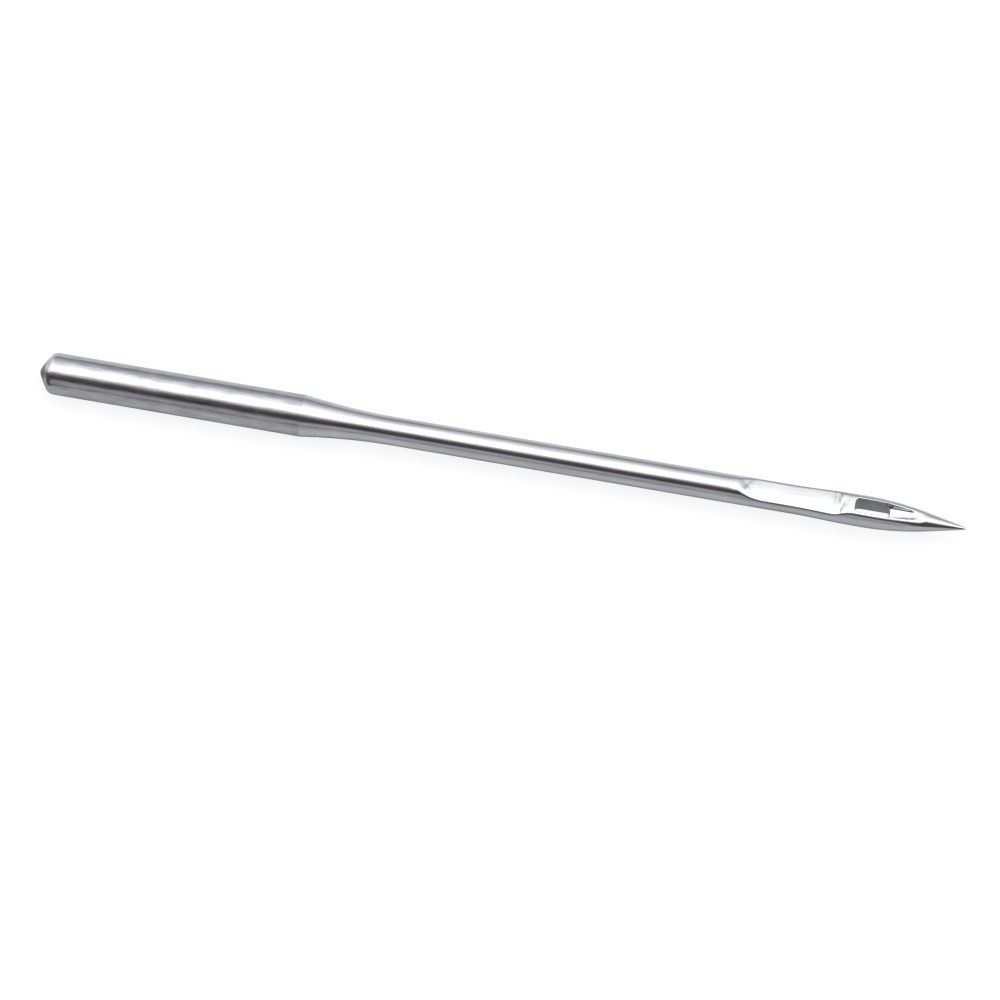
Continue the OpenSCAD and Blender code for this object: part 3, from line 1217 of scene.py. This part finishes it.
@dataclass(frozen=True)
class Softbox:
    """One soft lamp, placed by the direction in which the needle sees it.

    Attributes:
        name: Name of the lamp.
        lean: Angle of its middle from straight up, towards the camera's side, in degrees.
        spread: Angle that it fills across the needle, in degrees.
        distance: Distance from the needle, in metres.
        along: Length along the needle, in metres.
        brightness: Brightness of its surface, where 1 is white.
        tint: Colour of its light.
    """

    name: str = "overhead_softbox"
    lean: float = -4.0
    spread: float = 34.0
    distance: float = 0.6
    along: float = 2.4
    brightness: float = 0.6
    tint: str = WHITE

    def hang(self) -> None:
        """Hang the lamp so that it faces the needle."""
        width = 2 * self.distance * math.tan(math.radians(self.spread / 2))
        lamp = bpy.data.lights.new(self.name, "AREA")
        lamp.shape = "RECTANGLE"
        lamp.size = self.along
        lamp.size_y = width
        lamp.color = linear(self.tint)[:3]
        lamp.energy = self.brightness * math.pi * self.along * width
        hung = bpy.data.objects.new(self.name, lamp)
        lean = math.radians(self.lean)
        hung.location = (0.0, -self.distance * math.sin(lean), self.distance * math.cos(lean))
        hung.rotation_euler = (-lean, 0.0, 0.0)
        hung.visible_camera = False
        bpy.context.scene.collection.objects.link(hung)
        log.info("lamp: %s", self.name)


@dataclass(frozen=True)
class SkyBand:
    """One band of the light all round, which runs along the needle from horizon to horizon.

    Attributes:
        lean: Angle of the band from straight up, towards the camera's side, in degrees.
        brightness: Brightness of the band, where 1 is white.
        tint: Colour of its light.
    """

    lean: float
    brightness: float
    tint: str


@dataclass(frozen=True)
class PaintedFloorBand:
    """One line along the floor and the painted white that the metal reflects there.

    Attributes:
        side_mm: Distance from the needle, away from the camera's side.
        white: Share of painted white, which only the metal sees, in what it reflects there.
    """

    side_mm: float
    white: float


@dataclass(frozen=True)
class Studio:
    """Pale floor, overhead lamp and the soft light all round.

    The needle is a mirror, so its tones are those of the floor under it and of the dome over it.
    The floor also glows with bands of painted white that only the metal sees: a painted reflection.

    Attributes:
        floor_side: Side of the square floor, in metres.
        floor_colour: Colour of the floor where it lights the needle.
        seen_lift: How many times paler the camera sees that colour.
        seen_white: Share of plain white in what the camera sees of the floor.
        reflected: Painted reflection of the floor in the metal, from the camera's side to the far side,
            with
        a painted shadow of the needle under it.
        painted_reflection_past_butt: The same past the butt, where the butt's chamfer looks; its white
            far
        side is a painted highlight in the chamfer.
        past_butt_mm: Where along the needle the one gives way to the other, from the needle's middle.
        butt_turn: How far a direction turns towards the butt where the dome's bands begin to spread, and
            where they have fully spread.
        butt_spread: Share by which they spread there.
        butt_shift: How far they also shift there, in degrees.
        point_turn: The same as butt_turn, towards the point.
        point_spread: Share by which they spread there.
        point_from: Lean beyond which they do, in degrees.
        sky: Bands of the dome, from the far horizon to the near one.
    """

    floor_side: float = 3.0
    floor_colour: str = "#AEAEB0"
    seen_lift: float = 2.4
    seen_white: float = 0.88
    # Painted reflection of the floor; the dim stretch from -0.8 to 0.9 mm is a painted shadow under the
    # needle.
    reflected: tuple[PaintedFloorBand, ...] = (
        PaintedFloorBand(-9.0, 0.0),
        PaintedFloorBand(-4.0, 0.2),
        PaintedFloorBand(-1.4, 0.26),
        PaintedFloorBand(-0.8, 0.05),
        PaintedFloorBand(0.9, 0.05),
        PaintedFloorBand(1.5, 0.4),
        PaintedFloorBand(2.5, 0.55),
    )
    # Painted reflection past the butt; its white far side is a painted highlight in the butt's chamfer.
    painted_reflection_past_butt: tuple[PaintedFloorBand, ...] = (
        PaintedFloorBand(-1.0, 0.12),
        PaintedFloorBand(0.0, 0.12),
        PaintedFloorBand(0.5, 0.36),
        PaintedFloorBand(1.3, 1.0),
        PaintedFloorBand(2.5, 1.0),
    )
    past_butt_mm: tuple[float, float] = (-22.6, -24.6)
    butt_turn: tuple[float, float] = (-0.35, -0.75)
    butt_spread: float = 0.38
    butt_shift: float = 8.0
    point_turn: tuple[float, float] = (0.14, 0.28)
    point_spread: float = 0.5
    point_from: float = 30.0
    sky: tuple[SkyBand, ...] = (
        SkyBand(-90, 0.62, "#F9F9FF"),
        SkyBand(-80, 0.43, "#F7F7FF"),
        SkyBand(-73, 0.43, "#F7F7FF"),
        SkyBand(-65, 0.6, "#F7F8FF"),
        SkyBand(-58, 0.71, "#F7F8FF"),
        SkyBand(-51, 0.87, "#F8F9FF"),
        SkyBand(-44, 1.15, "#FAFAFF"),
        SkyBand(-38, 1.28, "#FBFBFF"),
        SkyBand(-31, 1.42, "#FDFDFF"),
        SkyBand(-26, 1.66, WHITE),
        SkyBand(-21, 1.8, WHITE),
        SkyBand(9, 1.8, WHITE),
        SkyBand(14, 1.34, WHITE),
        SkyBand(20, 0.86, "#FFFDFC"),
        SkyBand(25, 0.54, "#FFFAFA"),
        SkyBand(31, 0.18, "#FFF4F6"),
        SkyBand(37, 0.11, "#FFECF0"),
        SkyBand(46, 0.1, "#FFECF0"),
        SkyBand(52, 0.055, "#FFEEF2"),
        SkyBand(58, 0.15, "#FFF6F8"),
        SkyBand(64, 0.37, "#FCFAFF"),
        SkyBand(70, 0.53, "#FAFAFF"),
        SkyBand(76, 0.48, "#FAFAFF"),
        SkyBand(82, 0.42, "#F9F9FF"),
        SkyBand(90, 0.3, "#F9F9FF"),
    )

    def seen_share(self, tree: Tree, seen: float, in_metal: float | Socket) -> Socket:
        """Add the nodes that tell how much of the plain white background a ray meets.

        Args:
            tree: Node tree that takes the nodes.
            seen: Share for camera and see-through rays.
            in_metal: Share for reflected rays.

        Returns:
            A socket with the share, which is nothing for the rays that light the needle.
        """
        add = partial(add_node, tree)
        rays = add("ShaderNodeLightPath").outputs
        shown = {"operation": "MULTIPLY", 0: rays["Is Glossy Ray"], 1: in_metal}
        reflected = add("ShaderNodeMath", shown).outputs[0]
        either = {"operation": "MAXIMUM", 0: rays["Is Camera Ray"], 1: rays["Is Transmission Ray"]}
        direct = add("ShaderNodeMath", either).outputs[0]
        total = {"operation": "MULTIPLY_ADD", 0: direct, 1: seen, 2: reflected}
        return add("ShaderNodeMath", total).outputs[0]

    def painted_white_share(self, tree: Tree, side: Socket, bands: tuple[PaintedFloorBand, ...]) -> Socket:
        """Add the ramp of painted white that the metal sees on the floor, a painted reflection.

        Args:
            tree: Node tree that takes the nodes.
            side: Socket with the distance from the needle across it, in metres.
            bands: Lines along the floor, from the camera's side to the far side.

        Returns:
            A socket with the share of white.
        """
        first, last = bands[0].side_mm, bands[-1].side_mm
        limits = {"From Min": first * MM, "From Max": last * MM}
        across = add_node(tree, "ShaderNodeMapRange", {"Value": side, **limits})
        ramp = add_node(tree, "ShaderNodeValToRGB", {"Fac": across.outputs["Result"]})
        places = [(band.side_mm - first) / (last - first) for band in bands]
        fill_ramp(ramp, [(place, (band.white,) * 3 + (1.0,)) for place, band in zip(places, bands)])
        return ramp.outputs["Color"]

    def floor_material(self) -> Material:
        """Make the floor's material.

        Returns:
            A matt pale paper, on which the camera sees the needle's shadow and the metal sees bands of
            painted reflection.
        """
        material = bpy.data.materials.new("pale_paper_floor")
        tree = empty_tree(material)
        add = partial(add_node, tree)
        paper, plain = linear(self.floor_colour), linear(WHITE)
        bright = tuple(channel * self.seen_lift for channel in paper[:3]) + (1.0,)
        lit = self.seen_share(tree, seen=1.0, in_metal=0.0)
        tones = {"Factor": lit, 6: paper, 7: bright}
        colour = add("ShaderNodeMix", {"data_type": "RGBA", "clamp_result": False, **tones}).outputs[2]
        matt = add("ShaderNodeBsdfDiffuse", {"Roughness": 0.0, "Color": colour}).outputs["BSDF"]
        place = add("ShaderNodeTexCoord").outputs["Object"]
        parts = add("ShaderNodeSeparateXYZ", {0: place}).outputs
        near_butt, far_off = (edge * MM for edge in self.past_butt_mm)
        zone = {"Value": parts["X"], "From Min": near_butt, "From Max": far_off}
        past_butt = add("ShaderNodeMapRange", zone).outputs["Result"]
        # Painted reflection: a glow that only glossy rays meet, dimmed under the needle as a painted
        # shadow.
        share = self.painted_white_share(tree, parts["Y"], self.reflected)
        tones = {"Factor": past_butt, 6: share, 7: plain}
        in_metal = add("ShaderNodeMix", {"data_type": "RGBA", **tones}).outputs[2]
        # Past the butt the metal sees only painted white, a painted highlight in the chamfer.
        share = self.painted_white_share(tree, parts["Y"], self.painted_reflection_past_butt)
        tones = {"Factor": past_butt, 6: plain, 7: share}
        tone = add("ShaderNodeMix", {"data_type": "RGBA", **tones}).outputs[2]
        glossy = add("ShaderNodeLightPath").outputs["Is Glossy Ray"]
        tones = {"Factor": glossy, 6: plain, 7: tone}
        shown = add("ShaderNodeMix", {"data_type": "RGBA", **tones}).outputs[2]
        white = add("ShaderNodeEmission", {"Strength": 1.0, "Color": shown}).outputs["Emission"]
        share = self.seen_share(tree, self.seen_white, in_metal)
        surface = add("ShaderNodeMixShader", {0: share, 1: matt, 2: white})
        add("ShaderNodeOutputMaterial", {"Surface": surface.outputs["Shader"]})
        return material

    def lay_floor(self) -> None:
        """Lay the floor that the needle lies on."""
        half = self.floor_side / 2
        corners = [(-half, -half, 0.0), (half, -half, 0.0), (half, half, 0.0), (-half, half, 0.0)]
        mesh = bpy.data.meshes.new("floor")
        mesh.from_pydata(corners, [], [(0, 1, 2, 3)])
        mesh.materials.append(self.floor_material())
        floor = bpy.data.objects.new("floor", mesh)
        bpy.context.scene.collection.objects.link(floor)
        log.info("floor: %s", mesh.materials[0].name)

    def band_place(self, tree: Tree) -> Socket:
        """Add the nodes that find a direction's place among the bands of the dome.

        Args:
            tree: Node tree that takes the nodes.

        Returns:
            A socket with the place, from 0 at the far horizon to 1 at the near one.
        """
        add = partial(add_node, tree)
        place = add("ShaderNodeTexCoord").outputs["Generated"]
        parts = add("ShaderNodeSeparateXYZ", {0: place}).outputs
        near = add("ShaderNodeMath", {"operation": "MULTIPLY", 0: parts["Y"], 1: -1.0}).outputs[0]
        lean = add("ShaderNodeMath", {"operation": "ARCTAN2", 0: near, 1: parts["Z"]}).outputs[0]
        begin, end = self.point_turn
        limits = {"From Min": begin, "From Max": end, "To Max": -self.point_spread}
        at_point = add("ShaderNodeMapRange", {"Value": parts["X"], **limits}).outputs["Result"]
        start = math.radians(self.point_from)
        past = add("ShaderNodeMath", {"operation": "SUBTRACT", 0: lean, 1: start}).outputs[0]
        beyond = add("ShaderNodeMath", {"operation": "MAXIMUM", 0: past, 1: 0.0}).outputs[0]
        change = {"operation": "MULTIPLY_ADD", 0: beyond, 1: at_point, 2: lean}
        bent = add("ShaderNodeMath", change).outputs[0]
        begin, end = self.butt_turn
        limits = {"From Min": begin, "From Max": end}
        at_butt = add("ShaderNodeMapRange", {"Value": parts["X"], **limits}).outputs["Result"]
        shift = math.radians(self.butt_shift)
        change = {"operation": "MULTIPLY_ADD", 0: bent, 1: -self.butt_spread, 2: shift}
        drawn = add("ShaderNodeMath", change).outputs[0]
        change = {"operation": "MULTIPLY_ADD", 0: drawn, 1: at_butt, 2: bent}
        turned = add("ShaderNodeMath", change).outputs[0]
        limits = {"From Min": -math.pi / 2, "From Max": math.pi / 2}
        return add("ShaderNodeMapRange", {"Value": turned, **limits}).outputs["Result"]

    def light_dome(self) -> None:
        """Light the room with the sky bands; the camera and see-through rays meet plain white."""
        world = bpy.data.worlds.new("studio_dome")
        tree = empty_tree(world)
        add = partial(add_node, tree)
        bands = add("ShaderNodeValToRGB", {"Fac": self.band_place(tree)})
        peak = max(band.brightness for band in self.sky)
        stops = []
        for band in self.sky:
            red, green, blue, _ = (channel * band.brightness / peak for channel in linear(band.tint))
            stops.append(((band.lean + 90) / 180, (red, green, blue, 1.0)))
        fill_ramp(bands, stops)
        lit = {"operation": "SCALE", "Scale": peak, 0: bands.outputs["Color"]}
        glow = add("ShaderNodeVectorMath", lit).outputs["Vector"]
        tones = {"Factor": self.seen_share(tree, seen=1.0, in_metal=0.0), 6: glow, 7: linear(WHITE)}
        seen = add("ShaderNodeMix", {"data_type": "RGBA", **tones}).outputs[2]
        light = add("ShaderNodeBackground", {"Strength": 1.0, "Color": seen})
        add("ShaderNodeOutputWorld", {"Surface": light.outputs["Background"]})
        bpy.context.scene.world = world
        log.info("dome: %s", world.name)

    def build(self) -> None:
        """Build the floor, the dome and the lamp."""
        self.lay_floor()
        self.light_dome()
        Softbox().hang()


@dataclass(frozen=True)
class PhotoCamera:
    """Camera at the photograph's viewing angle, fitted to the two ends of the needle.

    Attributes:
        azimuth: Turn of the camera around the needle, in degrees.
        elevation: Height of the camera over the floor, in degrees.
        distance: Distance from the point that it looks at, in metres.
        lens: Focal length, in millimetres.
        sensor: Width of the sensor, in millimetres.
        nearest: Distance from which it shows anything, in metres.
        aim: Point that it looks at, in millimetres.
    """

    azimuth: float = 10.6905
    elevation: float = 65.0
    distance: float = 0.3
    lens: float = 229.88
    sensor: float = 36.0
    nearest: float = 0.01
    aim: tuple[float, float, float] = (0.4754, -2.5902, 1.0)

    def place(self) -> None:
        """Make the camera and give it to the scene."""
        data = bpy.data.cameras.new("photo_camera")
        data.lens = self.lens
        data.sensor_width = self.sensor
        data.clip_start = self.nearest
        camera = bpy.data.objects.new("photo_camera", data)
        turn, rise = math.radians(self.azimuth), math.radians(self.elevation)
        across = math.cos(rise)
        away = Vector((math.sin(turn) * across, -math.cos(turn) * across, math.sin(rise)))
        stand = Matrix.Translation(Vector(self.aim) * MM + away * self.distance)
        camera.matrix_world = stand @ away.to_track_quat("Z", "Y").to_matrix().to_4x4()
        bpy.context.scene.collection.objects.link(camera)
        bpy.context.scene.camera = camera
        log.info("camera: %s", camera.name)


def main() -> None:
    """Build the needle, the studio and the camera."""
    logging.basicConfig(level=logging.INFO, format="%(name)s %(message)s")
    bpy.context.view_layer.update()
    bpy.context.scene.view_settings.view_transform = "Standard"
    NeedleBody().build()
    Studio().build()
    PhotoCamera().place()


if __name__ == "__main__":
    main()
